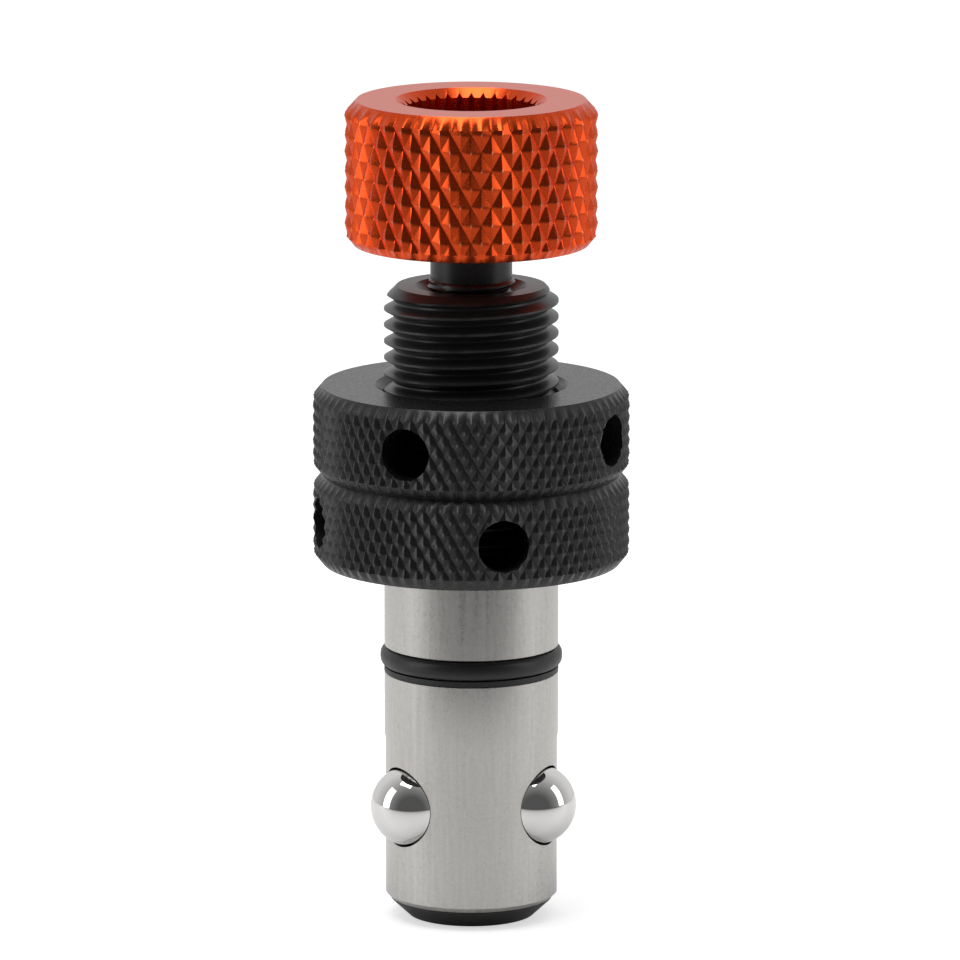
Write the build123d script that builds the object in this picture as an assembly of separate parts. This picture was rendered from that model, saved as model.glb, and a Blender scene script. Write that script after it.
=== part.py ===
from build123d import *
from math import cos, pi, radians, sin, tan
import os

# Adjustable ball lock pin for a 16 mm bore system, standing upright on its end plug.
# The frame's origin is the centre of the plug's standing face and +Z runs up the axis.
# The pin is locked: its screw is down and the three balls stand out of the shank.
# Azimuths are counted from -Y towards +X, so azimuth 0 is the front.

# ---------------------------------------------------------------- driving dimensions, mm
running_clearance = 0.05         # radial, between pieces that move in one another
seat_clearance = 0.01            # between pieces pressed or laid together

# end plug
plug_face_diameter = 11.4
plug_rim_diameter = 14.8
plug_cone_height = 1.7
plug_spigot_length = 3.7

# body: one bar, a bright shank below and an M16 x 1.5 threaded neck above
bar_diameter = 15.9              # of the shank's ground guide, and over the thread's crests
shank_length = 31.3              # from the body's lower end to the lower ring nut
shank_chamfer = 0.45
relief_height = 15.3             # from the body's lower end to the top of the relief round the balls
relief_step = 0.4                # height of the cone that leads from the relief to the guide
relief_depth = 0.08              # radial, of the relief at its upper end
lead_depth = 0.1                 # radial, of the relief at its lower end
neck_length = 25.55              # from the lower ring nut to the body's top face
neck_chamfer = 1.15
cavity_diameter = 10.0
cavity_headroom = 0.6            # left over the cone's collar when the cone is drawn up
screw_mouth_diameter = 10.2

# O-ring and backing ring, in one groove
groove_height = 21.15            # from the body's lower end to the groove's lower wall
o_ring_diameter = 16.65
o_ring_section = 1.85
backing_ring_diameter = 15.95
backing_ring_thickness = 0.48

# balls
ball_count = 3
ball_diameter = 7.4
ball_height = 9.16               # from the body's lower end to the ball centres
ball_azimuth = 63.4
ball_reach = 6.6                 # ball centre from the axis when locked, as it stands
ball_lip_reach = 7.1             # ball centre from the axis when it meets its staked lip
ball_gap = 0.03                  # between ball and cone, and between the drawn-in balls

# cone
cone_half_angle = 30.0
cone_tip_diameter = 0.8
cone_collar_length = 4.9

# screw: M8 socket head cap screw with a reduced neck and a turned tip
screw_diameter = 7.98
screw_neck_diameter = 7.45
screw_neck_length = 4.2          # from the head's underside to the first thread
screw_head_height = 8.0
socket_width = 6.0
socket_depth = 4.0
tip_diameter = 5.6
tip_depth = 5.0                  # how far the tip reaches into the cone's collar
tip_shoulder_gap = 0.4
snap_ring_thickness = 0.76       # square wire
snap_ring_gap_angle = 40.0

# knob
knob_diameter = 23.0
knob_height = 13.2
knob_lift = 3.85                 # from the body's top face to the knob's underside
knob_top_chamfer = 1.05
knob_bottom_chamfer = 0.75
knob_floor = 1.0
knob_bore_diameter = 12.1
knob_bore_chamfer = 0.8
knob_knurl_pitch = 1.9
knob_knurl_depth = 0.4
spline_count = 36
spline_depth = 0.4
spline_width = 0.55

# ring nuts
ring_diameter = 28.9
ring_height = 8.2
ring_chamfer = 0.85
ring_mouth_diameter = 17.5
ring_hole_count = 4
ring_hole_diameter = 4.7
ring_knurl_pitch = 1.26
ring_knurl_depth = 0.3
upper_hole_azimuth = -25.0
lower_hole_azimuth = 12.0

knurl_helix_angle = 30.0

# ---------------------------------------------------------------- heights and radii that follow
body_bottom = plug_cone_height
ring_seat = body_bottom + shank_length
body_top = ring_seat + neck_length
groove_bottom = body_bottom + groove_height
groove_top = groove_bottom + backing_ring_thickness + o_ring_section + 2 * seat_clearance
groove_radius = o_ring_diameter / 2 - o_ring_section - seat_clearance

ball_radius = ball_diameter / 2
ball_level = body_bottom + ball_height
pocket_radius = ball_radius + running_clearance


def cone_apex(reach):
    """Height of the cone's apex when it holds the ball centres at this distance from the axis."""
    angle = radians(cone_half_angle)
    return ball_level - (reach * cos(angle) - ball_radius - ball_gap) / sin(angle)


drawn_in_reach = (ball_diameter + ball_gap) / 2 / sin(pi / ball_count)
cone_travel = cone_apex(drawn_in_reach) - cone_apex(ball_reach)
cavity_radius = cavity_diameter / 2
collar_radius = cavity_radius - running_clearance
collar_bottom = cone_apex(ball_reach) + collar_radius / tan(radians(cone_half_angle))
collar_top = collar_bottom + cone_collar_length
cavity_top = collar_top + cone_travel + cavity_headroom

knob_bottom = body_top + knob_lift
knob_top = knob_bottom + knob_height
head_bottom = knob_bottom + knob_floor
head_top = head_bottom + screw_head_height
screw_thread_top = head_bottom - screw_neck_length
screw_shoulder = collar_top + tip_shoulder_gap
tip_bottom = collar_top - tip_depth
snap_level = collar_top - tip_depth / 2
screw_bore_radius = screw_diameter / 2 + running_clearance


# ---------------------------------------------------------------- forms shared by several pieces
def turned(*profile):
    """Solid of revolution about Z of a closed outline of (radius, height) points."""
    return revolve(Plane.XZ * make_face(Polyline(*profile, close=True)), Axis.Z)


def around(azimuth):
    """Turns something built towards +X so that it points to an azimuth."""
    return Rot(0, 0, azimuth - 90)


def knurled_blank(diameter, pitch, depth, low, high, low_chamfer, high_chamfer):
    """Round blank with a diamond knurl of four-sided pyramids and a plain chamfer at each end.

    Crests and valleys alternate on a grid around the blank. The valleys run on into the
    chamfers, so each chamfer's edge is scalloped.
    """
    columns = round(pi * diameter / pitch)
    steps = 2 * columns
    low_crest = low + low_chamfer
    high_crest = high - high_chamfer
    half_cell = pi * diameter / steps / tan(radians(knurl_helix_angle))
    rows = max(1, round((high_crest - low_crest) / half_cell))

    def on_blank(radius, step, height):
        angle = pi * step / columns
        return Vector(radius * cos(angle), radius * sin(angle), height)

    def on_knurl(row, step):
        sunk = depth if (row + step) % 2 else 0.0
        height = low_crest + (high_crest - low_crest) * row / rows
        if row == 0:
            height -= sunk
        if row == rows:
            height += sunk
        return on_blank(diameter / 2 - sunk, step, height)

    def on_rim(row, step):
        chamfer, height = (low_chamfer, low) if row == 0 else (high_chamfer, high)
        return on_blank(diameter / 2 - chamfer, step, height)

    triangles = []
    for step in range(steps):
        for row in range(rows):
            a, b = on_knurl(row, step), on_knurl(row, step + 1)
            c, d = on_knurl(row + 1, step + 1), on_knurl(row + 1, step)
            if (row + step) % 2:
                triangles += [(a, b, c), (a, c, d)]
            else:
                triangles += [(a, b, d), (b, c, d)]
        for row in (0, rows):
            a, b = on_knurl(row, step), on_knurl(row, step + 1)
            c, d = on_rim(row, step + 1), on_rim(row, step)
            triangles += [(a, b, c), (a, c, d)]
    faces = [Face(Wire.make_polygon(points)) for points in triangles]
    for row in (0, rows):
        faces.append(Face(Wire.make_polygon([on_rim(row, step) for step in range(steps)])))
    return Solid(Shell(faces))


def splined_prism(radius, low, high):
    """Upright prism with one V-shaped spline per pitch standing out of its round wall."""
    points = []
    for index in range(spline_count):
        middle = 2 * pi * index / spline_count
        half = spline_width / 2 / radius
        for angle, reach in ((middle - half, radius), (middle, radius + spline_depth), (middle + half, radius)):
            points.append((reach * cos(angle), reach * sin(angle)))
    return Pos(0, 0, low) * extrude(make_face(Polyline(*points, close=True)), high - low)


# ---------------------------------------------------------------- pieces
def make_end_plug():
    rim = plug_rim_diameter / 2
    face = plug_face_diameter / 2
    spigot = cavity_radius - seat_clearance
    spigot_top = body_bottom + plug_spigot_length
    return turned((0, 0), (face, 0), (rim, body_bottom), (spigot, body_bottom), (spigot, spigot_top), (0, spigot_top))


def make_body():
    bar = bar_diameter / 2
    lead = bar - lead_depth
    mouth = screw_mouth_diameter / 2
    guide_bottom = body_bottom + relief_height
    blank = turned(
        (cavity_radius, body_bottom),
        (lead - shank_chamfer, body_bottom),
        (lead, body_bottom + shank_chamfer),
        (bar - relief_depth, guide_bottom - relief_step),
        (bar, guide_bottom),
        (bar, groove_bottom),
        (groove_radius, groove_bottom),
        (groove_radius, groove_top),
        (bar, groove_top),
        (bar, body_top - neck_chamfer),
        (bar - neck_chamfer, body_top),
        (mouth, body_top),
        (screw_bore_radius, body_top - mouth + screw_bore_radius),
        (screw_bore_radius, cavity_top),
        (cavity_radius, cavity_top),
    )
    pocket = Rot(0, 90, 0) * extrude(Circle(pocket_radius), ball_lip_reach)
    pocket += Pos(ball_lip_reach, 0, 0) * Sphere(pocket_radius)
    for azimuth in ball_azimuths():
        blank -= Pos(0, 0, ball_level) * around(azimuth) * pocket
    return blank


def ball_azimuths():
    return [ball_azimuth + 360 * index / ball_count for index in range(ball_count)]


def make_ball(azimuth):
    return Pos(0, 0, ball_level) * around(azimuth) * Pos(ball_reach, 0, 0) * Sphere(ball_radius)


def make_backing_ring():
    bottom = groove_bottom + seat_clearance
    outer = backing_ring_diameter / 2
    inner = groove_radius + seat_clearance
    top = groove_bottom + backing_ring_thickness
    return turned((inner, bottom), (outer, bottom), (outer, top), (inner, top))


def make_o_ring():
    """Rubber ring, pressed flat on the groove's floor and round outside."""
    low = groove_bottom + backing_ring_thickness + seat_clearance
    high = low + o_ring_section
    inner = groove_radius + seat_clearance
    flank = (o_ring_diameter - o_ring_section) / 2
    outline = Polyline((flank, high), (inner, high), (inner, low), (flank, low))
    outline += ThreePointArc((flank, low), (o_ring_diameter / 2, (low + high) / 2), (flank, high))
    return revolve(Plane.XZ * make_face(outline), Axis.Z)


def make_ring_nut(low, hole_azimuth):
    high = low + ring_height
    bore = bar_diameter / 2 + running_clearance
    mouth = ring_mouth_diameter / 2
    blank = knurled_blank(
        ring_diameter, ring_knurl_pitch, ring_knurl_depth, low, high, ring_chamfer, ring_chamfer
    )
    blank -= turned(
        (0, low),
        (mouth, low),
        (bore, low + mouth - bore),
        (bore, high - mouth + bore),
        (mouth, high),
        (0, high),
    )
    hole = Rot(0, 90, 0) * extrude(Circle(ring_hole_diameter / 2), ring_diameter)
    for index in range(ring_hole_count):
        azimuth = hole_azimuth + 360 * index / ring_hole_count
        blank -= Pos(0, 0, low + ring_height / 2) * around(azimuth) * hole
    return blank


def make_thrust_cone():
    apex = cone_apex(ball_reach)
    tip = cone_tip_diameter / 2
    bore = tip_diameter / 2 + running_clearance
    blank = turned(
        (0, apex + tip / tan(radians(cone_half_angle))),
        (tip, apex + tip / tan(radians(cone_half_angle))),
        (collar_radius, collar_bottom),
        (collar_radius, collar_top),
        (bore, collar_top),
        (bore, tip_bottom),
        (0, tip_bottom),
    )
    return blank - snap_groove(0.0, bore + snap_ring_thickness / 2)


def snap_groove(inner, outer):
    """Cutter that makes room for the snap ring between two radii."""
    room = snap_ring_thickness + 2 * running_clearance
    return Pos(0, 0, snap_level) * turned(
        (inner, -room / 2), (outer, -room / 2), (outer, room / 2), (inner, room / 2)
    )


def make_snap_ring():
    middle = tip_diameter / 2 + running_clearance - seat_clearance
    wire = Plane.XZ * Pos(middle, snap_level) * Rectangle(snap_ring_thickness, snap_ring_thickness)
    return revolve(wire, Axis.Z, 360 - snap_ring_gap_angle)


def make_spindle_screw():
    neck = screw_neck_diameter / 2
    thread = screw_diameter / 2
    tip = tip_diameter / 2
    shaft = turned(
        (0, tip_bottom + seat_clearance),
        (tip, tip_bottom + seat_clearance),
        (tip, screw_shoulder),
        (thread, screw_shoulder + thread - tip),
        (thread, screw_thread_top - thread + neck),
        (neck, screw_thread_top),
        (neck, head_bottom),
        (0, head_bottom),
    )
    shaft -= snap_groove(tip - snap_ring_thickness / 2, thread)
    head = splined_prism(knob_bore_diameter / 2 - seat_clearance, head_bottom, head_top)
    socket = extrude(RegularPolygon(socket_width / 2, 6, major_radius=False), socket_depth)
    return shaft + head - Pos(0, 0, head_top - socket_depth) * socket


def make_knob():
    blank = knurled_blank(
        knob_diameter, knob_knurl_pitch, knob_knurl_depth, knob_bottom, knob_top,
        knob_bottom_chamfer, knob_top_chamfer,
    )
    bore = knob_bore_diameter / 2
    blank -= splined_prism(bore, head_bottom, knob_top)
    blank -= turned(
        (0, knob_top - knob_bore_chamfer),
        (bore, knob_top - knob_bore_chamfer),
        (bore + knob_bore_chamfer, knob_top),
        (0, knob_top),
    )
    neck_hole = screw_neck_diameter / 2 + seat_clearance
    return blank - Pos(0, 0, knob_bottom) * extrude(Circle(neck_hole), knob_floor)


# ---------------------------------------------------------------- the parts
pieces = {
    "end_plug": make_end_plug(),
    "body": make_body(),
    "backing_ring": make_backing_ring(),
    "o_ring": make_o_ring(),
    "lower_ring_nut": make_ring_nut(ring_seat, lower_hole_azimuth),
    "upper_ring_nut": make_ring_nut(ring_seat + ring_height, upper_hole_azimuth),
    "thrust_cone": make_thrust_cone(),
    "snap_ring": make_snap_ring(),
    "spindle_screw": make_spindle_screw(),
    "knob": make_knob(),
}
for number, azimuth in enumerate(ball_azimuths(), start=1):
    pieces[f"ball_{number}"] = make_ball(azimuth)

os.makedirs("parts", exist_ok=True)
for node, solid in pieces.items():
    export_step(solid, f"parts/{node}.step")
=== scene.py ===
from math import cos, pi, radians, sin, tan

import bmesh
import bpy
import numpy as np
from bpy.props import (
    FloatProperty, FloatVectorProperty, IntProperty, PointerProperty,
)
from bpy.types import Operator, Panel, PropertyGroup
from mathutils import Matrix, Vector


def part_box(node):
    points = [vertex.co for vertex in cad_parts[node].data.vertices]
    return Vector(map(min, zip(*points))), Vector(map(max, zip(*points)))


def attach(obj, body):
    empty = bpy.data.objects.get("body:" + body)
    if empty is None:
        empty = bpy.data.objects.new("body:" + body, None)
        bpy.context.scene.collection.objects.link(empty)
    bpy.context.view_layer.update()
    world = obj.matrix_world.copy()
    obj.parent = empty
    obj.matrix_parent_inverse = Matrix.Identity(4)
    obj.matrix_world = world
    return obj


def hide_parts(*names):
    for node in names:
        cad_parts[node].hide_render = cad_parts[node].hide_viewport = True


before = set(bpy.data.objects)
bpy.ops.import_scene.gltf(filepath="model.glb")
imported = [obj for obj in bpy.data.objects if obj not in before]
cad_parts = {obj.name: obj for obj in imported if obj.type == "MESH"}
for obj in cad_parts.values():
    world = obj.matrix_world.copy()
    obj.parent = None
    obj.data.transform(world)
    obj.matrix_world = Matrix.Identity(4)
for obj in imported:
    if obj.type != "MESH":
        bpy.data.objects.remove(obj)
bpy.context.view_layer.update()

bl_info = {
    "name": "Ball Lock Pin",
    "version": (1, 0, 0),
    "blender": (4, 5, 0),
    "location": "View3D > Sidebar > Lock Pin",
    "description": "Dresses the packed ball lock pin with its threads, knurls, finishes and stage",
    "category": "Object",
}

# The pin stands upright on its end plug: +Z runs up its axis and -Y is the front.
# Azimuths are counted from the front towards +X.
MM = 0.001
FULL_TURN = 2 * pi
MERGE_DISTANCE = 2e-8            # coincident points of a grid are merged below this distance
KNOB_FLOOR = 1.0 * MM            # thickness of the knob's floor, which the screw's neck passes through
KNOB_TIP = 72.5 * MM             # height of a pyramid's tip at the front of the knob
M8_CREST = 3.99 * MM             # radius at the crests of the screw's thread
M8_DEPTH_AT_ENDS = 0.8 * MM      # the screw's thread starts this far below its crests
THREAD_DEPTH = 0.6134            # depth of a metric thread as a share of its pitch
NECK_MOUTH = 5.1 * MM            # radius of the countersink at the top of the body's bore
CAVITY_HEADROOM = 4.6 * MM       # room above the cone, for its lift
RELIEF_STEP = 0.4 * MM           # height over which the shank narrows to its relief
RELIEF_TAPER = 0.01 * MM         # how much further the relief narrows towards the lower end
POCKET_START = 2.2 * MM          # distance from the axis where a ball pocket starts
POCKET_LIP = 7.1 * MM            # distance from the axis where a ball pocket starts to close
SEAL_POWER = 0.8                 # below 1, the O-ring's section is squared off
LIGHTS_AIM = 35.0 * MM               # height that the softboxes point at


# ---------------------------------------------------------------- sizes and colours
def length(name, description, default_mm):
    """A length property. The default is written in millimetres and kept in metres."""
    return FloatProperty(
        name=name, description=description, default=default_mm * MM, min=0.0,
        unit="LENGTH", subtype="DISTANCE", precision=5,
    )


def angle(name, description, default_degrees):
    return FloatProperty(
        name=name, description=description, default=radians(default_degrees),
        unit="ROTATION", subtype="ANGLE",
    )


def colour(name, description, default):
    return FloatVectorProperty(
        name=name, description=description, default=default, size=3, min=0.0, max=1.0,
        subtype="COLOR",
    )


class KnobSettings(PropertyGroup):
    """The knurled knob"""

    columns: IntProperty(name="Knurl columns", description="Diamonds round the knob", default=38)
    helix: angle("Knurl angle", "Angle of the knurl's grooves to the axis", 30)
    depth: length("Groove depth", "Depth of the deeper set of grooves", 0.42)
    cross_depth: length("Cross groove depth", "Depth of the shallower set of grooves", 0.37)
    top_chamfer: length("Top chamfer", "Chamfer over the knurl", 1.05)
    bottom_chamfer: length("Bottom chamfer", "Chamfer under the knurl", 0.75)
    bore: length("Bore", "Diameter of the bore between its grooves", 12.1)
    bore_chamfer: length("Bore chamfer", "Chamfer at the bore's mouth", 0.8)
    splines: IntProperty(name="Bore grooves", description="V grooves round the bore", default=36)
    spline_depth: length("Bore groove depth", "Depth of the bore's V grooves", 0.4)
    tint: colour("Anodised colour", "Colour of the anodised aluminium", (0.80, 0.085, 0.018))


class RingNutSettings(PropertyGroup):
    """The two knurled ring nuts"""

    columns: IntProperty(name="Knurl columns", description="Diamonds round the nut", default=72)
    helix: angle("Knurl angle", "Angle of the knurl's grooves to the axis", 30)
    depth: length("Groove depth", "Depth of the deeper set of grooves", 0.32)
    cross_depth: length("Cross groove depth", "Depth of the shallower set of grooves", 0.27)
    chamfer: length("Chamfer", "Chamfer at both ends", 0.85)
    mouth: length("Bore mouth", "Diameter of the bore's countersink", 17.5)
    holes: IntProperty(name="Tommy holes", description="Radial holes for a tommy bar", default=4)
    hole: length("Tommy hole", "Diameter of the tommy bar holes", 4.7)
    upper_azimuth: angle("Upper hole azimuth", "Azimuth of the upper nut's first hole", -25)
    lower_azimuth: angle("Lower hole azimuth", "Azimuth of the lower nut's first hole", 12)


class BodySettings(PropertyGroup):
    """The body: bright ground shank below, blackened thread above"""

    pitch: length("Thread pitch", "Pitch of the M16 thread", 1.5)
    crest_height: length("Crest height", "Height of a crest at the front", 56.79)
    neck_chamfer: length("Neck chamfer", "Chamfer at the top of the thread", 1.15)
    shank_chamfer: length("Shank chamfer", "Chamfer at the shank's lower end", 0.45)
    relief_top: length("Relief top", "Height where the relief round the balls ends", 17.0)
    relief_depth: length("Relief depth", "Radial depth of the relief round the balls", 0.09)
    clearance: length("Clearance", "Radial clearance of pieces that move", 0.05)


class ScrewSettings(PropertyGroup):
    """The M8 socket head cap screw pressed into the knob"""

    pitch: length("Thread pitch", "Pitch of the M8 thread", 1.25)
    neck: length("Neck", "Diameter of the plain neck under the head", 7.45)
    neck_length: length("Neck length", "Length of the plain neck", 4.2)
    tip: length("Tip", "Diameter of the turned tip that the cone hangs on", 5.6)
    head_height: length("Head height", "Height of the head", 8.0)
    socket: length("Socket", "Width across the flats of the hex socket", 6.0)
    socket_depth: length("Socket depth", "Depth of the hex socket", 4.0)


class ShankSettings(PropertyGroup):
    """The small pieces on the shank"""

    groove_radius: length("Groove floor", "Radius of the seal groove's floor", 6.46)
    section: length("Seal section", "Thickness of the O-ring", 1.85)
    plug_face: length("Plug face", "Diameter of the end plug's standing face", 11.4)
    edge: length("Edge round", "Rounding of turned edges", 0.12)


class StageSettings(PropertyGroup):
    """Floor, lights and camera"""

    distance: FloatProperty(
        name="Camera distance", description="From the aim point", default=0.9, unit="LENGTH",
    )
    elevation: angle("Camera elevation", "Above the horizon", 11.2)
    aim_height: length("Aim height", "Height of the point that the camera looks at", 40.48)
    aim_side: length("Aim side", "How far right of the axis the camera stands", 0.793)
    lens: FloatProperty(name="Lens", description="Focal length in millimetres", default=370.2)
    backdrop: colour("Backdrop", "Colour seen behind the pin", (1.0, 1.0, 1.0))


SETTINGS = {
    "pin_knob": KnobSettings,
    "pin_ring_nuts": RingNutSettings,
    "pin_body": BodySettings,
    "pin_screw": ScrewSettings,
    "pin_shank": ShankSettings,
    "pin_stage": StageSettings,
}


# ---------------------------------------------------------------- surfaces
def azimuths(steps):
    """Evenly spaced azimuths round the axis, from the front towards +X."""
    return np.arange(steps) / steps * FULL_TURN


def lathe_points(radius, height, turn):
    """Points (radius sin a, -radius cos a, height) for rows of radius and height and azimuths a."""
    radius, height, turn = np.broadcast_arrays(radius, height, turn)
    return np.stack([radius * np.sin(turn), -radius * np.cos(turn), height], axis=-1)


def skin(name, points, loop=False, partner=None, slash=None):
    """Mesh object over a grid of points, rows by steps.

    Each row wraps round into itself, and the last row joins the first if loop is set. partner
    gives, for each row, the row that it runs on into where a helix crosses the seam. slash says
    which cells are split along their other diagonal; without it the cells stay quads.
    """
    rows, steps = points.shape[:2]
    index = np.arange(rows * steps).reshape(rows, steps)
    onward = np.roll(index, -1, axis=1)
    if partner is not None:
        onward[:, -1] = index[partner, 0]
    lower = np.arange(rows)
    upper = np.roll(lower, -1)
    if not loop:
        lower, upper = lower[:-1], upper[:-1]
    a, b, c, d = index[lower], onward[lower], onward[upper], index[upper]
    if slash is None:
        faces = np.stack([a, b, c, d], axis=-1).reshape(-1, 4)
    else:
        slash = slash[:, :, None]
        first = np.where(slash, np.stack([a, b, d], axis=-1), np.stack([a, b, c], axis=-1))
        second = np.where(slash, np.stack([b, c, d], axis=-1), np.stack([a, c, d], axis=-1))
        faces = np.concatenate([first.reshape(-1, 3), second.reshape(-1, 3)])
    mesh = bpy.data.meshes.new(name)
    mesh.from_pydata(points.reshape(-1, 3).tolist(), [], faces.tolist())
    piece = bpy.data.objects.new(name, mesh)
    bpy.context.scene.collection.objects.link(piece)
    return close_up(piece)


def close_up(piece):
    """Merges the points that coincide, drops faces of no area and points the faces outwards."""
    shape = bmesh.new()
    shape.from_mesh(piece.data)
    bmesh.ops.remove_doubles(shape, verts=shape.verts, dist=MERGE_DISTANCE)
    bmesh.ops.dissolve_degenerate(shape, edges=shape.edges, dist=MERGE_DISTANCE)
    if shape.calc_volume(signed=True) < 0:
        bmesh.ops.reverse_faces(shape, faces=shape.faces)
    shape.to_mesh(piece.data)
    shape.free()
    return piece


def carve(piece, *tools):
    """Cuts closed tool pieces out of a piece and removes them."""
    for tool in tools:
        cut = piece.modifiers.new(tool.name, "BOOLEAN")
        cut.operation = "DIFFERENCE"
        cut.solver = "EXACT"
        cut.object = tool
    seen = piece.evaluated_get(bpy.context.evaluated_depsgraph_get())
    carved = bpy.data.meshes.new_from_object(seen)
    piece.modifiers.clear()
    piece.data = carved
    for tool in tools:
        bpy.data.objects.remove(tool)
    return piece


def finish(piece, body, material, replaced, sharp=30):
    """Smooth shading between sharp edges, the finish, and the body that the piece rides on."""
    piece.data.shade_smooth()
    piece.data.set_sharp_from_angle(angle=radians(sharp))
    piece.data.materials.clear()
    piece.data.materials.append(material)
    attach(piece, body)
    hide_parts(*replaced)
    return piece


def turned_edge(points, radius, arc_steps=3):
    """An outline of (radius, height) points whose corners are rounded and whose two ends stay.

    Each corner gives way to points on a quadratic curve that starts and ends a distance of
    radius before and after it, or just short of the middle of a shorter side.
    """
    points = np.asarray(points, float)
    corners = points[1:-1]
    before = points[:-2] - corners
    after = points[2:] - corners
    before_length = np.linalg.norm(before, axis=1, keepdims=True)
    after_length = np.linalg.norm(after, axis=1, keepdims=True)
    start = corners + before / before_length * np.minimum(radius, before_length / 2.2)
    end = corners + after / after_length * np.minimum(radius, after_length / 2.2)
    part = np.linspace(0, 1, arc_steps + 1)[None, :, None]
    curve = (
        (1 - part) ** 2 * start[:, None] + 2 * part * (1 - part) * corners[:, None] + part ** 2 * end[:, None]
    )
    return np.concatenate([points[:1], curve.reshape(-1, 2), points[-1:]])


def triangle_wave(phase):
    """1 at whole numbers of phase, 0 halfway between them, straight in between."""
    return np.abs(2 * (phase - np.floor(phase)) - 1)


def knurl_cell(radius, columns, helix):
    """Height of one diamond of a knurl whose grooves lie at the angle helix to the axis."""
    return FULL_TURN * radius / columns / tan(helix)


def knurl_cut(turn, height, columns, cell_height, depth, cross_depth):
    """Depth of a diamond knurl: the deeper of two sets of V grooves.

    One set rises and the other falls by one cell height a column. Each groove is deepest where
    its phase is a whole number and reaches the surface halfway to the next groove.
    """
    across = turn * columns / FULL_TURN
    along = height / cell_height
    falling = depth * triangle_wave(across + along)
    rising = cross_depth * triangle_wave(across - along)
    return np.maximum(falling, rising)


def knurl_wall(radius, low, high, size, steps, crossing):
    """Rows of a knurled wall: (radius, height, which cells split along the other diagonal).

    A row is as high as a groove rises in one step, so grooves run along the cells' diagonals.
    crossing is the height where two grooves cross at the front.
    """
    per_column = steps // size.columns
    cell_height = knurl_cell(radius, size.columns, size.helix)
    row_height = cell_height / per_column
    first = int(np.ceil((low - crossing) / row_height))
    last = int(np.floor((high - crossing) / row_height))
    number = np.arange(first, last + 1)
    height = (number * row_height + crossing)[:, None]
    turn = azimuths(steps)[None, :]
    cut = knurl_cut(turn, height - crossing, size.columns, cell_height, size.depth, size.cross_depth)
    slash = (number[:-1, None] + np.arange(steps)[None, :] + 1) % per_column == 0
    return radius - cut, height + 0 * turn, slash


def knurled_skin(name, below, wall, *inside):
    """Closed knurled piece: rows below the wall, the wall, then rows above it and down inside."""
    radius, height = stack_rows(below, wall[:2], *inside)
    split = np.zeros(radius.shape, bool)
    first = len(below[0])
    split[first:first + len(wall[2])] = wall[2]
    return skin(name, lathe_points(radius, height, azimuths(radius.shape[1])), loop=True, slash=split)


def bore_grooves(turn):
    """Depth of the V grooves round the knob's bore, with flats as wide as the grooves between."""
    knob = settings("pin_knob")
    return np.clip(triangle_wave(turn * knob.splines / FULL_TURN) * 2 - 1, 0, 1) * knob.spline_depth


def thread_profile(phase):
    """Share of the full depth of a metric thread, by phase from the middle of its crest.

    A flat crest of an eighth of the pitch, straight 60 degree flanks, and a rounded root.
    """
    crest_end, root_start, flank_share = 1 / 16, 3 / 8, 0.883
    away = np.abs(phase - np.round(phase))
    flank = np.clip((away - crest_end) / (root_start - crest_end), 0, 1) * flank_share
    root = np.clip((away - root_start) * 8, 0, 1)
    return flank + (1 - flank_share) * np.sin(root * pi / 2)


# Where the rows of one pitch of thread lie, in pitches from the middle of the crest.
THREAD_PHASES = np.array([
    -0.0625, -0.02, 0.02, 0.0625, 0.17, 0.27, 0.375, 0.43, 0.5, 0.57, 0.625, 0.73, 0.83,
])


def thread_rows(low, high, pitch, crest, crest_height, low_radius, high_radius, runout, steps):
    """Rows of a right-hand thread between two heights: (radius, height).

    Height is the crest's height at the front, plus whole pitches, plus the row's phase, plus
    one pitch a turn, held between low and high. Radius is the crest's less the profile's share
    of the depth, which fades out over the run-outs (low, high), and under 45 degree chamfers
    that end at low_radius and high_radius.
    """
    turns = np.arange(int((low - crest_height) / pitch) - 3, int((high - crest_height) / pitch) + 3)
    phase = (turns[:, None] + THREAD_PHASES[None, :]).reshape(-1, 1)
    turn = azimuths(steps)[None, :]
    height = np.clip(crest_height + pitch * (phase + turn / FULL_TURN), low, high)
    fade = np.clip((height - low) / runout[0], 0, 1) * np.clip((high - height) / runout[1], 0, 1)
    radius = crest - THREAD_DEPTH * pitch * thread_profile(phase) * fade
    radius = np.minimum(radius, low_radius + (height - low))
    radius = np.minimum(radius, high_radius + (high - height))
    return radius, height


def threaded_skin(name, below, thread, above, loop=False):
    """Threaded piece: rows below the thread, the thread, and rows above it or down inside.

    At the seam each row of the thread runs on into the row one turn up.
    """
    radius, height = stack_rows(below, thread, above)
    partner = np.arange(len(radius))
    first, count = len(below[0]), len(thread[0])
    turned = first + np.arange(count) + len(THREAD_PHASES)
    partner[first:first + count] = np.minimum(turned, first + count - 1)
    return skin(name, lathe_points(radius, height, azimuths(radius.shape[1])), loop=loop, partner=partner)


def rows_of(outline, steps):
    """Rows of equal radius and height round the axis, one for each (radius, height) point."""
    outline = np.asarray(outline, float)
    radius = np.repeat(outline[:, :1], steps, axis=1)
    height = np.repeat(outline[:, 1:], steps, axis=1)
    return radius, height


def stack_rows(*blocks):
    """Blocks of (radius, height) rows, one after another."""
    return np.concatenate([b[0] for b in blocks]), np.concatenate([b[1] for b in blocks])


def radial_rod(name, outward, middle, reach, half, steps):
    """Closed rod along a level line out from the axis: its radius is half where the distance is reach.

    outward is the line's direction (x, y) and middle its height.
    """
    turn = azimuths(steps)[None, :]
    side, up = half[:, None] * np.cos(turn), half[:, None] * np.sin(turn)
    out = reach[:, None] + 0 * turn
    points = np.stack([
        out * outward[0] - side * outward[1], out * outward[1] + side * outward[0], middle + up,
    ], axis=-1)
    return skin(name, points)


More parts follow.
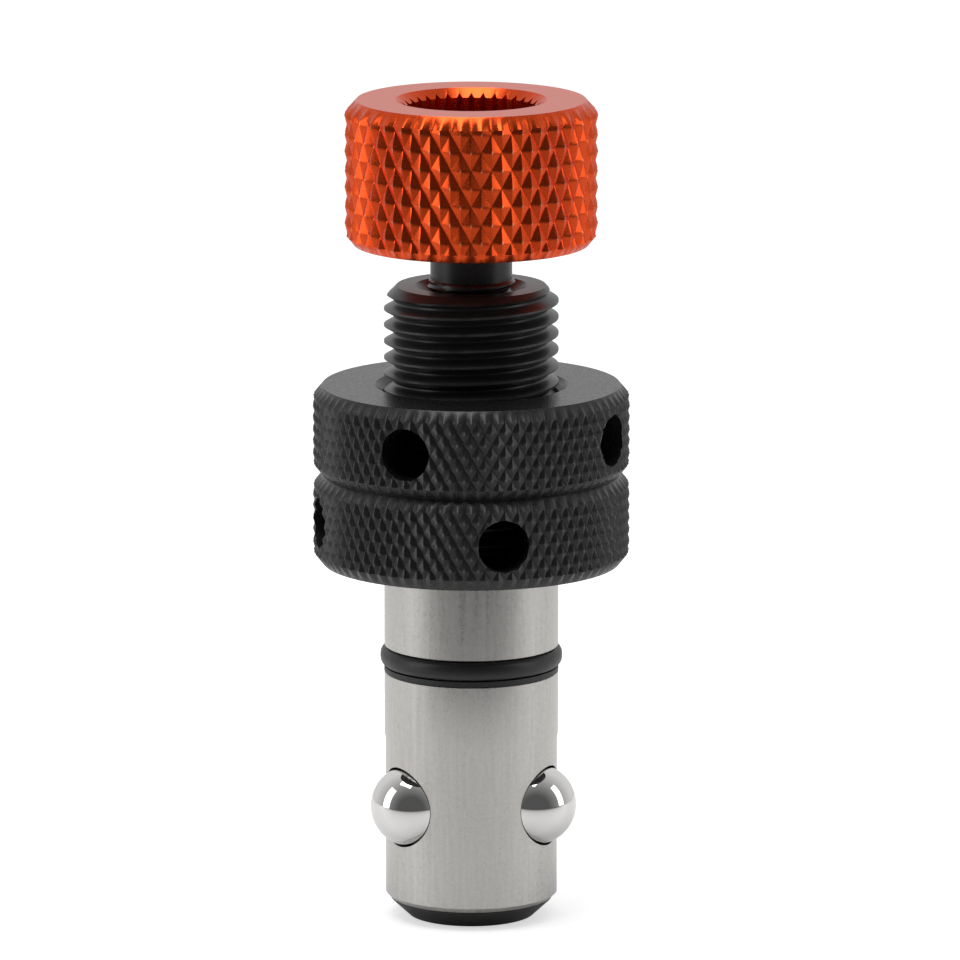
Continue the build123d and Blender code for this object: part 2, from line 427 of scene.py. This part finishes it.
# ---------------------------------------------------------------- materials
def new_group(name, inputs, outputs):
    """An empty shader node group with named sockets: inputs are (name, type, default)."""
    group = bpy.data.node_groups.new(name, "ShaderNodeTree")
    for label, kind, default in inputs:
        socket = group.interface.new_socket(label, in_out="INPUT", socket_type="NodeSocket" + kind)
        if default is not None:
            socket.default_value = default
    for label, kind in outputs:
        group.interface.new_socket(label, in_out="OUTPUT", socket_type="NodeSocket" + kind)
    return group, Nodes(group)


class Nodes:
    """Adds nodes to a tree and joins them."""

    def __init__(self, tree):
        self.tree = tree

    def put(self, value, target):
        """Joins a socket to an input, or gives the input a value."""
        if isinstance(value, bpy.types.NodeSocket):
            self.tree.links.new(value, target)
        else:
            target.default_value = value

    def add(self, kind, **values):
        """A node of a kind, its properties set by name and its inputs by _number."""
        node = self.tree.nodes.new(kind)
        for key, value in values.items():
            if key.startswith("_"):
                self.put(value, node.inputs[int(key[1:])])
            else:
                setattr(node, key, value)
        return node

    def maths(self, operation, *values, clamp=False):
        node = self.add("ShaderNodeMath", operation=operation, use_clamp=clamp)
        for number, value in enumerate(values):
            self.put(value, node.inputs[number])
        return node.outputs[0]

    def ramp(self, value, low, high, to_low=0.0, to_high=1.0):
        node = self.add("ShaderNodeMapRange", _0=value, _1=low, _2=high, _3=to_low, _4=to_high)
        return node.outputs[0]

    def mix(self, factor, first, second):
        """A colour between two colours."""
        node = self.add("ShaderNodeMix", data_type="RGBA", _0=factor)
        for number, value in ((6, first), (7, second)):
            self.put((*value, 1.0) if isinstance(value, tuple) else value, node.inputs[number])
        return node.outputs[2]


def grain_group():
    """Fine turned or ground grain: noise stretched round the axis or along it.

    Scale sets how fine it is in lines a metre, Along how much it is stretched up the axis.
    """
    group, nodes = new_group(
        "Machined grain",
        [("Scale", "Float", 4000.0), ("Along", "Float", 0.05), ("Speckle", "Float", 0.3)],
        [("Value", "Float")],
    )
    enter = nodes.add("NodeGroupInput")
    leave = nodes.add("NodeGroupOutput")
    place = nodes.add("ShaderNodeTexCoord").outputs["Object"]
    stretch = nodes.add("ShaderNodeCombineXYZ", _0=1.0, _1=1.0, _2=enter.outputs["Along"]).outputs[0]
    drawn = nodes.add("ShaderNodeVectorMath", operation="MULTIPLY", _0=place, _1=stretch).outputs[0]
    lines = nodes.add("ShaderNodeTexNoise", _0=drawn)
    nodes.tree.links.new(enter.outputs["Scale"], lines.inputs["Scale"])
    lines.inputs["Detail"].default_value = 3.0
    dots = nodes.add("ShaderNodeTexNoise", _0=place)
    nodes.tree.links.new(enter.outputs["Scale"], dots.inputs["Scale"])
    both = nodes.add("ShaderNodeMix", data_type="FLOAT", _0=enter.outputs["Speckle"])
    nodes.tree.links.new(lines.outputs[0], both.inputs[2])
    nodes.tree.links.new(dots.outputs[0], both.inputs[3])
    nodes.tree.links.new(both.outputs[0], leave.inputs[0])
    return group


def wear_group():
    """Mask of the painted highlight on a knurl or a thread: 1 on the crests, 0 in the grooves, broken by
    noise.

    The mask rises with the distance from the axis, between Valley and Crest.
    """
    group, nodes = new_group(
        "Crest wear",
        [("Valley", "Float", 0.0), ("Crest", "Float", 1.0), ("Patchiness", "Float", 0.5)],
        [("Mask", "Float")],
    )
    enter = nodes.add("NodeGroupInput")
    leave = nodes.add("NodeGroupOutput")
    place = nodes.add("ShaderNodeTexCoord").outputs["Object"]
    flat = nodes.add("ShaderNodeVectorMath", operation="MULTIPLY", _0=place, _1=(1.0, 1.0, 0.0)).outputs[0]
    reach = nodes.add("ShaderNodeVectorMath", operation="LENGTH", _0=flat).outputs["Value"]
    height = nodes.ramp(reach, enter.outputs["Valley"], enter.outputs["Crest"])
    patches = nodes.add("ShaderNodeTexNoise", _0=place)
    patches.inputs["Scale"].default_value = 900.0
    patches.inputs["Detail"].default_value = 4.0
    broken = nodes.ramp(patches.outputs[0], 0.35, 0.65)
    kept = nodes.maths("MULTIPLY_ADD", broken, enter.outputs["Patchiness"], 1.0)
    kept = nodes.maths("SUBTRACT", kept, enter.outputs["Patchiness"], clamp=True)
    nodes.tree.links.new(nodes.maths("MULTIPLY", height, kept), leave.inputs[0])
    return group


def group_in(nodes, group, **values):
    """Places a node group, with its inputs set by name, and gives its first output."""
    node = nodes.add("ShaderNodeGroup", node_tree=group)
    for label, value in values.items():
        node.inputs[label].default_value = value
    return node.outputs[0]


def metal(name, base, roughness, grain, metallic=1.0, wear=None, highlit_crest=None, bump=0.0, spread=0.06, shade=0.8):
    """A metal or coated finish: a colour that varies with the grain, with a painted highlight that lightens
    its crests.

    grain holds the inputs of the grain group; the other dict holds those of the painted crest highlight, and
    the colour after it is the colour painted on the crests. The grain moves the roughness by spread and
    darkens the colour to shade, and its height is bump metres.
    """
    material = bpy.data.materials.new(name)
    material.use_nodes = True
    nodes = Nodes(material.node_tree)
    shader = material.node_tree.nodes["Principled BSDF"]
    shader.inputs["Metallic"].default_value = metallic
    lines = group_in(nodes, GROUPS["grain"], **grain)
    share = nodes.ramp(lines, 0.3, 0.7)
    tint = nodes.mix(share, tuple(part * shade for part in base), base)
    rough = nodes.ramp(lines, 0.3, 0.7, roughness - spread, roughness + spread)
    # Painted highlight: the crests are tinted towards a lighter colour, in patches.
    if wear:
        mask = group_in(nodes, GROUPS["wear"], **wear)
        tint = nodes.mix(mask, tint, highlit_crest)
    material.node_tree.links.new(tint, shader.inputs["Base Color"])
    material.node_tree.links.new(rough, shader.inputs["Roughness"])
    if bump:
        relief = nodes.add("ShaderNodeBump")
        relief.inputs["Distance"].default_value = bump
        material.node_tree.links.new(lines, relief.inputs["Height"])
        material.node_tree.links.new(relief.outputs[0], shader.inputs["Normal"])
    return material


def body_metal(name, ring_seat):
    """The bar's finish: bright ground steel below the nuts' seat, black oxide on the thread above."""
    material = metal(
        name, (0.60, 0.585, 0.565), 0.30, grain={"Scale": 2600.0, "Along": 0.06, "Speckle": 0.45},
        bump=0.004 * MM, spread=0.07,
    )
    nodes = Nodes(material.node_tree)
    shader = material.node_tree.nodes["Principled BSDF"]
    bright = shader.inputs["Base Color"].links[0].from_socket
    rough = shader.inputs["Roughness"].links[0].from_socket
    place = nodes.add("ShaderNodeTexCoord").outputs["Object"]
    height = nodes.add("ShaderNodeSeparateXYZ", _0=place).outputs[2]
    dark = nodes.ramp(height, ring_seat + 0.05 * MM, ring_seat + 0.2 * MM)
    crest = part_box("body")[1].x
    # Painted highlight: the black oxide is painted lighter on the thread's crests, in patches.
    highlit_crest = group_in(nodes, GROUPS["wear"], Valley=crest - 0.2 * MM, Crest=crest, Patchiness=0.7)
    oxide = nodes.mix(highlit_crest, (0.012, 0.012, 0.012), (0.045, 0.043, 0.042))
    links = material.node_tree.links
    links.new(nodes.mix(dark, bright, oxide), shader.inputs["Base Color"])
    links.new(nodes.add("ShaderNodeMix", data_type="FLOAT", _0=dark, _2=rough, _3=0.32).outputs[0],
              shader.inputs["Roughness"])
    links.new(nodes.ramp(dark, 0.0, 1.0, 1.0, 0.25), shader.inputs["Metallic"])
    return material


GROUPS = {}                      # the shared node groups by name, made in main()


def settings(name):
    """The scene's settings of one piece."""
    return getattr(bpy.context.scene, name)


# ---------------------------------------------------------------- pieces
class PIN_OT_knob(Operator):
    """Knurled knob with its grooved bore"""

    bl_idname = "lock_pin.knob"
    bl_label = "Knob"

    def execute(self, context):
        size = settings("pin_knob")
        low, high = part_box("knob")
        radius = high.x
        steps = 18 * size.columns
        bore = size.bore / 2
        floor = low.z + KNOB_FLOOR
        hole = settings("pin_screw").neck / 2 + 0.02 * MM
        foot, shoulder = radius - size.bottom_chamfer, radius - size.top_chamfer
        lip = bore + size.bore_chamfer
        foot_edge, edge = 0.06 * MM, 0.05 * MM
        wall = knurl_wall(
            radius, low.z + size.bottom_chamfer, high.z - size.top_chamfer, size, steps,
            crossing=KNOB_TIP - knurl_cell(radius, size.columns, size.helix) / 2,
        )
        below = rows_of([(foot - foot_edge, low.z), (foot, low.z + foot_edge)], steps)
        above = rows_of([(shoulder, high.z - edge), (shoulder - edge, high.z)], steps)
        mouth = rows_of([(lip + edge, high.z), (lip, high.z - edge)], steps)
        groove = bore_grooves(azimuths(steps))
        splined = (np.stack([bore + groove, bore + groove]),
                   np.stack([high.z - size.bore_chamfer + groove, np.full(steps, floor)]))
        inside = rows_of([(hole, floor), (hole, low.z)], steps)
        knob = knurled_skin("knurled_knob", below, wall, above, mouth, splined, inside)
        finish(knob, "spindle", metal(
            "Orange anodised aluminium", tuple(size.tint), 0.27,
            grain={"Scale": 5200.0, "Along": 1.6, "Speckle": 0.5}, bump=0.003 * MM, spread=0.05, shade=0.82,
            # Painted highlight: the knurl's crests are painted pale orange, in patches.
            wear={"Valley": radius - 0.08 * MM, "Crest": radius, "Patchiness": 0.6},
            highlit_crest=(0.93, 0.33, 0.16),
        ), ["knob"], sharp=24)
        return {"FINISHED"}


class PIN_OT_ring_nuts(Operator):
    """Two knurled ring nuts with radial tommy holes"""

    bl_idname = "lock_pin.ring_nuts"
    bl_label = "Ring nuts"

    def execute(self, context):
        size = settings("pin_ring_nuts")
        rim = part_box("lower_ring_nut")[1].x
        finish_of_both = metal(
            "Black oxide on the nuts", (0.016, 0.0158, 0.0155), 0.30, metallic=0.25,
            grain={"Scale": 4200.0, "Along": 2.5, "Speckle": 0.6}, bump=0.004 * MM, spread=0.07, shade=0.7,
            # Painted highlight: the knurl's crests are painted dark grey over the black, in patches.
            wear={"Valley": rim - 0.10 * MM, "Crest": rim, "Patchiness": 0.6},
            highlit_crest=(0.10, 0.098, 0.094),
        )
        for node, body, azimuth in (("lower_ring_nut", "lower_nut", size.lower_azimuth),
                                    ("upper_ring_nut", "upper_nut", size.upper_azimuth)):
            ring = self.ring(node, size)
            drills = []
            for number in range(size.holes):
                drills.append(self.drill(node, size, azimuth + FULL_TURN * number / size.holes))
            carve(ring, *drills)
            finish(ring, body, finish_of_both, [node], sharp=24)
        return {"FINISHED"}

    def ring(self, node, size):
        """Knurled ring: chamfered wall outside, countersunk bore inside."""
        low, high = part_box(node)
        radius, steps = high.x, 12 * size.columns
        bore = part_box("body")[1].x + settings("pin_body").clearance
        mouth, shoulder, edge = size.mouth / 2, radius - size.chamfer, 0.05 * MM
        wall = knurl_wall(
            radius, low.z + size.chamfer, high.z - size.chamfer, size, steps,
            crossing=low.z + size.chamfer + knurl_cell(radius, size.columns, size.helix) / 2,
        )
        below = rows_of([(shoulder - edge, low.z), (shoulder, low.z + edge)], steps)
        above = rows_of([(shoulder, high.z - edge), (shoulder - edge, high.z)], steps)
        inside = rows_of([
            (mouth + edge, high.z), (mouth, high.z - edge), (bore, high.z - mouth + bore),
            (bore, low.z + mouth - bore), (mouth, low.z + edge), (mouth + edge, low.z),
        ], steps)
        return knurled_skin("knurled_" + node, below, wall, above, inside)

    def drill(self, node, size, azimuth):
        """Closed rod that points outwards from inside the bore, countersunk a little at the rim."""
        low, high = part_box(node)
        rim, rod = high.x, size.hole / 2
        inner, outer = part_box("body")[1].x - 1.0 * MM, rim + 0.5 * MM
        reach = np.array([inner, inner, rim - 0.28 * MM, outer, outer])
        half = np.array([0.0, rod, rod, rod + 0.35 * MM, 0.0])
        outward = (sin(azimuth), -cos(azimuth))
        return radial_rod("drill", outward, (low.z + high.z) / 2, reach, half, 48)


class PIN_OT_body(Operator):
    """Body: ground shank with the seal groove and ball pockets, threaded neck"""

    bl_idname = "lock_pin.body"
    bl_label = "Body"

    def execute(self, context):
        size = settings("pin_body")
        low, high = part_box("body")
        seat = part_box("lower_ring_nut")[0].z
        bar, steps = high.x, 192
        cone_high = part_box("thrust_cone")[1]
        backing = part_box("backing_ring")[0].z
        groove = (backing - 0.01 * MM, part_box("o_ring")[1].z + 0.01 * MM)
        cavity = cone_high.x + size.clearance
        lead = bar - size.relief_depth - RELIEF_TAPER
        floor = settings("pin_shank").groove_radius
        edge = 0.1 * MM
        shank = rows_of([
            (cavity, low.z), (lead - size.shank_chamfer, low.z), (lead, low.z + size.shank_chamfer),
            (bar - size.relief_depth, size.relief_top - RELIEF_STEP), (bar, size.relief_top),
            (bar, groove[0] - edge), (bar - edge, groove[0]), (floor, groove[0]),
            (floor, groove[1]), (bar - edge, groove[1]), (bar, groove[1] + edge), (bar, seat - 0.2 * MM),
        ], steps)
        thread = thread_rows(
            seat, high.z, size.pitch, bar, size.crest_height,
            bar, bar - size.neck_chamfer, (1.2 * MM, 0.05 * MM), steps,
        )
        bore = M8_CREST + size.clearance
        cavity_top = cone_high.z + CAVITY_HEADROOM
        inside = rows_of([
            (NECK_MOUTH, high.z), (bore, high.z - NECK_MOUTH + bore),
            (bore, cavity_top), (cavity, cavity_top),
        ], steps)
        body = threaded_skin("threaded_body", shank, thread, inside, loop=True)
        carve(body, *[self.pocket(number) for number in (1, 2, 3)])
        finish(body, "body", body_metal("Ground shank and blackened thread", seat), ["body"])
        return {"FINISHED"}

    def pocket(self, number):
        """Closed capsule that clears one ball: a rod from near the axis, rounded at the staked lip."""
        low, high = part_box(f"ball_{number}")
        middle = (low + high) / 2
        outward = Vector((middle.x, middle.y, 0)).normalized()
        radius = (high.z - low.z) / 2 + settings("pin_body").clearance
        quarter = np.linspace(0, pi / 2, 25)
        reach = np.concatenate([[POCKET_START], [POCKET_START], POCKET_LIP + radius * np.sin(quarter)])
        half = np.concatenate([[0.0], [radius], radius * np.cos(quarter)])
        half[-1] = 0.0
        return radial_rod("pocket", outward, middle.z, reach, half, 72)


class PIN_OT_screw(Operator):
    """M8 socket head cap screw: threaded shaft and grooved head"""

    bl_idname = "lock_pin.screw"
    bl_label = "Screw"

    def execute(self, context):
        size = settings("pin_screw")
        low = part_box("spindle_screw")[0]
        head_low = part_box("knob")[0].z + KNOB_FLOOR
        neck, tip, thread_start = size.neck / 2, size.tip / 2, M8_CREST - M8_DEPTH_AT_ENDS
        thread_top = head_low - size.neck_length
        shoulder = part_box("thrust_cone")[1].z + 0.4 * MM
        steps = 96
        black = metal(
            "Black oxide on the screw", (0.014, 0.014, 0.014), 0.30, metallic=0.25,
            grain={"Scale": 5000.0, "Along": 1.5, "Speckle": 0.5}, bump=0.002 * MM,
        )
        stem = rows_of([
            (0, low.z), (tip - 0.3 * MM, low.z), (tip, low.z + 0.3 * MM), (tip, shoulder),
            (thread_start, shoulder),
        ], steps)
        thread = thread_rows(
            shoulder, thread_top, size.pitch, M8_CREST, thread_top - 0.4 * size.pitch,
            thread_start, neck, (0.05 * MM, 1.2 * MM), steps,
        )
        shaft = threaded_skin("screw_shaft", stem, thread, rows_of([(neck, head_low), (0, head_low)], steps))
        finish(shaft, "spindle", black, ["spindle_screw"])
        head = self.head(size, head_low, head_low + size.head_height)
        finish(head, "spindle", black, ["spindle_screw"])
        return {"FINISHED"}

    def head(self, size, low, high):
        """Head whose wall follows the bore's grooves, with a hexagon socket from its top.

        The socket's radius is half its width over the cosine of the angle to the nearest flat.
        """
        knob = settings("pin_knob")
        steps = 360
        turn = azimuths(steps)
        wall = knob.bore / 2 - 0.04 * MM + bore_grooves(turn)
        flat_angle = (turn + pi / 6) % (pi / 3) - pi / 6
        flats = size.socket / 2 / np.cos(flat_angle)
        even = np.ones(steps)
        rows = [
            (0 * even, low), (wall - 0.3 * MM, low), (wall, low + 0.3 * MM), (wall, high - 0.7 * MM),
            ((knob.bore / 2 - 0.6 * MM) * even, high), (flats + 0.35 * MM, high), (flats, high - 0.25 * MM),
            (flats, high - size.socket_depth), (size.socket / 2.4 * even, high - size.socket_depth),
            (0 * even, high - size.socket_depth - 1.2 * MM),
        ]
        radius_rows = np.stack([row[0] for row in rows])
        height_rows = np.stack([row[1] * even for row in rows])
        return skin("screw_head", lathe_points(radius_rows, height_rows, turn))


class PIN_OT_shank_pieces(Operator):
    """O-ring, end plug, balls and the finishes of the pieces kept from the frame"""

    bl_idname = "lock_pin.shank_pieces"
    bl_label = "Shank pieces"

    def execute(self, context):
        size = settings("pin_shank")
        rubber = metal(
            "Black rubber", (0.008, 0.008, 0.008), 0.42, metallic=0.0,
            grain={"Scale": 3000.0, "Along": 1.0, "Speckle": 0.8}, bump=0.003 * MM,
        )
        finish(self.seal(size), "body", rubber, ["o_ring"])
        black = metal(
            "Black oxide on the plug", (0.016, 0.015, 0.014), 0.36, metallic=0.25,
            grain={"Scale": 4000.0, "Along": 2.0, "Speckle": 0.5}, bump=0.003 * MM,
        )
        finish(self.plug(size), "body", black, ["end_plug"])
        mirror = metal(
            "Polished ball", (0.80, 0.79, 0.78), 0.05, grain={"Scale": 9000.0, "Along": 1.0, "Speckle": 1.0},
            spread=0.015, shade=0.96,
        )
        for number in (1, 2, 3):
            finish(self.ball(number), f"ball_{number}", mirror, [f"ball_{number}"], sharp=60)
        hard = metal(
            "Hardened steel", (0.42, 0.41, 0.40), 0.3,
            grain={"Scale": 3000.0, "Along": 3.0, "Speckle": 0.3}, bump=0.002 * MM,
        )
        plastic = metal(
            "Black plastic ring", (0.012, 0.012, 0.012), 0.5, metallic=0.0,
            grain={"Scale": 3000.0, "Along": 1.0, "Speckle": 0.8}, bump=0.002 * MM,
        )
        for node, material in (("thrust_cone", hard), ("snap_ring", hard), ("backing_ring", plastic)):
            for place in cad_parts[node].material_slots:
                place.material = material
        return {"FINISHED"}

    def seal(self, size):
        """O-ring pressed into its groove: a squared-off round section carried round the axis.

        The section is x = a |cos t|^p, z = b |sin t|^p with the signs of the cosine and sine.
        """
        low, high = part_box("o_ring")
        middle, half = (low.z + high.z) / 2, (high.z - low.z) / 2 - 0.01 * MM
        outer, inner = high.x, high.x - size.section
        centre, reach = (outer + inner) / 2, (outer - inner) / 2
        section = azimuths(32)[:, None]
        across, up = np.cos(section), np.sin(section)
        radius = centre + reach * np.sign(across) * np.abs(across) ** SEAL_POWER
        height = middle + half * np.sign(up) * np.abs(up) ** SEAL_POWER
        return skin("seal_ring", lathe_points(radius, height, azimuths(160)[None, :]), loop=True)

    def plug(self, size):
        """Turned end plug: a cone up to its rim and a spigot into the shank, edges rounded."""
        low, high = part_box("end_plug")
        rim, seat = high.x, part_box("body")[0].z
        face = size.plug_face / 2
        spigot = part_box("thrust_cone")[1].x + 0.03 * MM
        outline = turned_edge([
            (0.0, low.z), (face, low.z), (rim, seat - 0.12 * MM), (rim, seat), (spigot, seat),
            (spigot, high.z), (0.0, high.z),
        ], size.edge)
        steps = 160
        return skin("end_plug_turned", lathe_points(*rows_of(outline, steps), azimuths(steps)[None, :]))

    def ball(self, number):
        """Sphere of latitude rows round its own upright axis."""
        low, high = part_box(f"ball_{number}")
        middle, radius = (low + high) / 2, (high.z - low.z) / 2
        rise = np.linspace(-pi / 2, pi / 2, 65)[:, None]
        reach = radius * np.cos(rise)
        reach[[0, -1]] = 0.0
        points = lathe_points(reach, middle.z + radius * np.sin(rise), azimuths(128)[None, :])
        return skin(f"locking_ball_{number}", points + np.array([middle.x, middle.y, 0.0]))


# ---------------------------------------------------------------- stage
class PIN_OT_stage(Operator):
    """Pale floor, soft lights, backdrop and camera"""

    bl_idname = "lock_pin.stage"
    bl_label = "Stage"

    def execute(self, context):
        size = settings("pin_stage")
        scene = context.scene
        scene.view_settings.view_transform = "Standard"
        self.camera(scene, size)
        self.floor()
        self.surroundings(scene, size)
        softboxes = [
            ("Overhead softbox", (-0.05, -0.06, 0.50), 0.26, 0.26, 1.0),
            ("Left softbox", (-0.45, -0.12, 0.20), 0.20, 0.45, 0.55),
            ("Right softbox", (0.45, -0.10, 0.22), 0.16, 0.45, 0.40),
        ]
        for name, place, across, tall, power in softboxes:
            self.softbox(scene, name, Vector(place), across, tall, power)
        return {"FINISHED"}

    def camera(self, scene, size):
        data = bpy.data.cameras.new("Camera")
        data.lens, data.sensor_width = size.lens, 36.0
        data.clip_start, data.clip_end = 0.05, 10.0
        camera = bpy.data.objects.new("Camera", data)
        scene.collection.objects.link(camera)
        back = Vector((0, -cos(size.elevation), sin(size.elevation)))
        camera.location = Vector((size.aim_side, 0, size.aim_height)) + back * size.distance
        camera.rotation_euler = back.to_track_quat("Z", "Y").to_euler()
        scene.camera = camera

    def floor(self):
        """Pale round floor, seen white where no shadow falls on it; seen in reflections it is painted dark
        towards the front, as painted shade on the pin.
        """
        reach = np.linspace(0, 1.2, 25)[:, None]
        points = lathe_points(reach, 0 * reach, azimuths(64)[None, :])
        ground = skin("floor", points)
        material = bpy.data.materials.new("Pale floor")
        material.use_nodes = True
        nodes = Nodes(material.node_tree)
        shader = material.node_tree.nodes["Principled BSDF"]
        place = nodes.add("ShaderNodeTexCoord").outputs["Object"]
        depth = nodes.add("ShaderNodeSeparateXYZ", _0=place).outputs[1]
        # Painted shade: in reflections the floor is dark in front and white near the pin.
        front = nodes.ramp(depth, -0.17, -0.01, 0.10, 1.0)
        path = nodes.add("ShaderNodeLightPath").outputs
        reflected_shade = nodes.mix(front, (0.0, 0.0, 0.0), (1.0, 1.0, 1.0))
        tone = nodes.mix(path["Is Glossy Ray"], (0.86, 0.86, 0.86), reflected_shade)
        material.node_tree.links.new(tone, shader.inputs["Base Color"])
        shader.inputs["Roughness"].default_value = 0.8
        shader.inputs["Emission Color"].default_value = (1.0, 1.0, 1.0, 1.0)
        glow = nodes.maths("MULTIPLY", path["Is Camera Ray"], 0.55)
        material.node_tree.links.new(glow, shader.inputs["Emission Strength"])
        ground.data.materials.append(material)

    def surroundings(self, scene, size):
        """White backdrop to the camera; a bright room above and behind and a dim one in front."""
        world = bpy.data.worlds.new("Studio")
        scene.world = world
        world.use_nodes = True
        nodes = Nodes(world.node_tree)
        background = world.node_tree.nodes["Background"]
        direction = nodes.add("ShaderNodeTexCoord").outputs["Generated"]
        parts = nodes.add("ShaderNodeSeparateXYZ", _0=direction).outputs
        behind = nodes.ramp(parts[1], -0.8, 0.6, 0.10, 0.75)
        path = nodes.add("ShaderNodeLightPath").outputs
        room = nodes.add("ShaderNodeCombineColor", _0=behind, _1=behind, _2=behind).outputs[0]
        tone = nodes.mix(path["Is Camera Ray"], room, tuple(size.backdrop))
        world.node_tree.links.new(tone, background.inputs["Color"])

    def softbox(self, scene, name, place, across, tall, power):
        data = bpy.data.lights.new(name, "AREA")
        data.shape, data.size, data.size_y, data.energy = "RECTANGLE", across, tall, power
        light = bpy.data.objects.new(name, data)
        scene.collection.objects.link(light)
        light.location = place
        light.rotation_euler = (place - Vector((0, 0, LIGHTS_AIM))).to_track_quat("Z", "Y").to_euler()


class PIN_PT_sidebar(Panel):
    """Sizes and steps of the ball lock pin"""

    bl_idname = "PIN_PT_sidebar"
    bl_label = "Ball Lock Pin"
    bl_space_type = "VIEW_3D"
    bl_region_type = "UI"
    bl_category = "Lock Pin"

    def draw(self, context):
        for operator in STEPS:
            self.layout.operator(operator.bl_idname)
        for name, kind in SETTINGS.items():
            box = self.layout.box()
            box.label(text=kind.__doc__)
            for key in kind.__annotations__:
                box.prop(settings(name), key)


STEPS = (PIN_OT_knob, PIN_OT_ring_nuts, PIN_OT_body, PIN_OT_screw, PIN_OT_shank_pieces, PIN_OT_stage)


def register():
    for kind in (*SETTINGS.values(), *STEPS, PIN_PT_sidebar):
        bpy.utils.register_class(kind)
    for name, kind in SETTINGS.items():
        setattr(bpy.types.Scene, name, PointerProperty(type=kind))


def unregister():
    for name in SETTINGS:
        delattr(bpy.types.Scene, name)
    for kind in (PIN_PT_sidebar, *STEPS, *SETTINGS.values()):
        bpy.utils.unregister_class(kind)


def main():
    """Makes every piece and the stage."""
    register()
    GROUPS.update(grain=grain_group(), wear=wear_group())
    bpy.ops.lock_pin.knob()
    bpy.ops.lock_pin.ring_nuts()
    bpy.ops.lock_pin.body()
    bpy.ops.lock_pin.screw()
    bpy.ops.lock_pin.shank_pieces()
    bpy.ops.lock_pin.stage()


if __name__ == "__main__":
    main()
